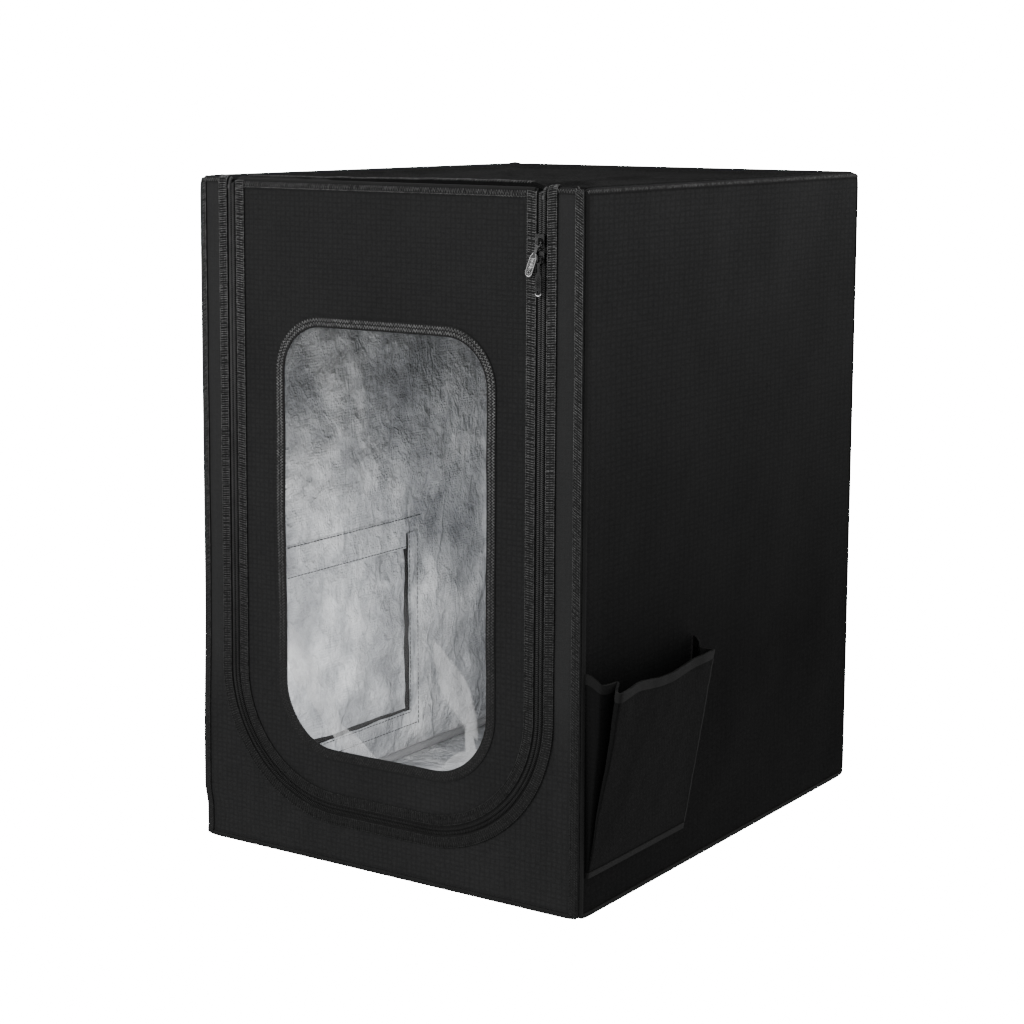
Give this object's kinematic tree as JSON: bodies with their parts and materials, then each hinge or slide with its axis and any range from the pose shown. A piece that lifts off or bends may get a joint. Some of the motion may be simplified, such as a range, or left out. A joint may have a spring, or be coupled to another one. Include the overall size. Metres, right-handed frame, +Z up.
{
  "type": "printer enclosure tent",
  "caption": "Black fabric box on a plug-together tube frame for a desktop 3D printer, with a zipped front door and clear window, a side pocket and a flap over a cable port.",
  "frame": {"origin": "centre of the footprint on the floor", "axes": "+X to the right seen from the front, +Y to the rear, +Z up"},
  "size_m": [0.5239, 0.6103, 0.7212],
  "materials": {
    "cover_fabric": "black coated woven polyester, foil laminated inside",
    "binding_tape": "black ribbed polyester binding tape, stitched",
    "zipper_tape": "black woven zip tape with overlocked edge",
    "zipper_coil": "black nylon coil",
    "slider_metal": "black enamelled zinc, worn bright at the edges",
    "window_film": "clear soft vinyl film",
    "foil_lining": "silver foil laminate",
    "hook_and_loop": "black hook and loop tape",
    "frame_tube": "light grey coated steel tube",
    "connector_plastic": "black moulded plastic"
  },
  "bodies": {
    "enclosure": {"corner_binding_front_left": "binding_tape", "corner_binding_front_right": "binding_tape", "corner_binding_rear_left": "binding_tape", "corner_binding_rear_right": "binding_tape", "corner_connector_front_left_high": "connector_plastic", "corner_connector_front_left_low": "connector_plastic", "corner_connector_front_right_high": "connector_plastic", "corner_connector_front_right_low": "connector_plastic", "corner_connector_rear_left_high": "connector_plastic", "corner_connector_rear_left_low": "connector_plastic", "corner_connector_rear_right_high": "connector_plastic", "corner_connector_rear_right_low": "connector_plastic", "cover_zipper_coil": "zipper_coil", "cover_zipper_tape": "zipper_tape", "flap_hook_strip": "hook_and_loop", "flap_seam": "binding_tape", "floor_binding": "binding_tape", "floor_panel": "cover_fabric", "front_surround": "cover_fabric", "left_panel": "cover_fabric", "pocket_front": "cover_fabric", "pocket_gusset_front": "cover_fabric", "pocket_gusset_rear": "cover_fabric", "pocket_hem": "binding_tape", "pocket_mouth_binding": "binding_tape", "port_border": "foil_lining", "rear_panel": "cover_fabric", "right_panel": "cover_fabric", "roof_binding": "binding_tape", "roof_panel": "cover_fabric", "tube_depth_left_high": "frame_tube", "tube_depth_left_low": "frame_tube", "tube_depth_right_high": "frame_tube", "tube_depth_right_low": "frame_tube", "tube_width_front_high": "frame_tube", "tube_width_front_low": "frame_tube", "tube_width_rear_high": "frame_tube", "tube_width_rear_low": "frame_tube", "upright_front_left_lower": "frame_tube", "upright_front_left_upper": "frame_tube", "upright_front_right_lower": "frame_tube", "upright_front_right_upper": "frame_tube", "upright_rear_left_lower": "frame_tube", "upright_rear_left_upper": "frame_tube", "upright_rear_right_lower": "frame_tube", "upright_rear_right_upper": "frame_tube", "zipper_top_stops": "slider_metal"},
    "door": {"door_panel": "cover_fabric", "door_header_binding": "binding_tape", "window_film": "window_film", "window_binding": "binding_tape", "door_zipper_tape": "zipper_tape", "door_zipper_coil": "zipper_coil"},
    "slider_upper": {"slider_body_upper": "slider_metal"},
    "slider_lower": {"slider_body_lower": "slider_metal"},
    "pull_upper": {"slider_pull_upper": "slider_metal"},
    "pull_lower": {"slider_pull_lower": "slider_metal"},
    "side_flap": {"port_flap": "cover_fabric", "flap_loop_strip": "hook_and_loop"}
  },
  "joints": [
    {"name": "door_flip", "type": "hinge", "parent": "enclosure", "child": "door", "pos_m": [0, -0.3016, 0.7224], "axis": [-1, 0, 0], "range_deg": [0, 268]},
    {"name": "slider_upper_travel", "type": "slide", "parent": "enclosure", "child": "slider_upper", "axis": [0, 0, 1], "range_m": [0, 0.028]},
    {"name": "slider_lower_travel", "type": "slide", "parent": "enclosure", "child": "slider_lower", "axis": [0, 0, -1], "range_m": [0, 0.44]},
    {"name": "pull_upper_flip", "type": "hinge", "parent": "slider_upper", "child": "pull_upper", "pos_m": [0.1915, -0.30675, 0.6675], "axis": [-1, 0, 0], "range_deg": [0, 150]},
    {"name": "pull_lower_flip", "type": "hinge", "parent": "slider_lower", "child": "pull_lower", "pos_m": [0.1915, -0.30675, 0.651], "axis": [-1, 0, 0], "range_deg": [0, 150]},
    {"name": "port_flap_lift", "type": "hinge", "parent": "enclosure", "child": "side_flap", "pos_m": [-0.2437, 0, 0.304], "axis": [0, 1, 0], "range_deg": [0, 175]}
  ]
}
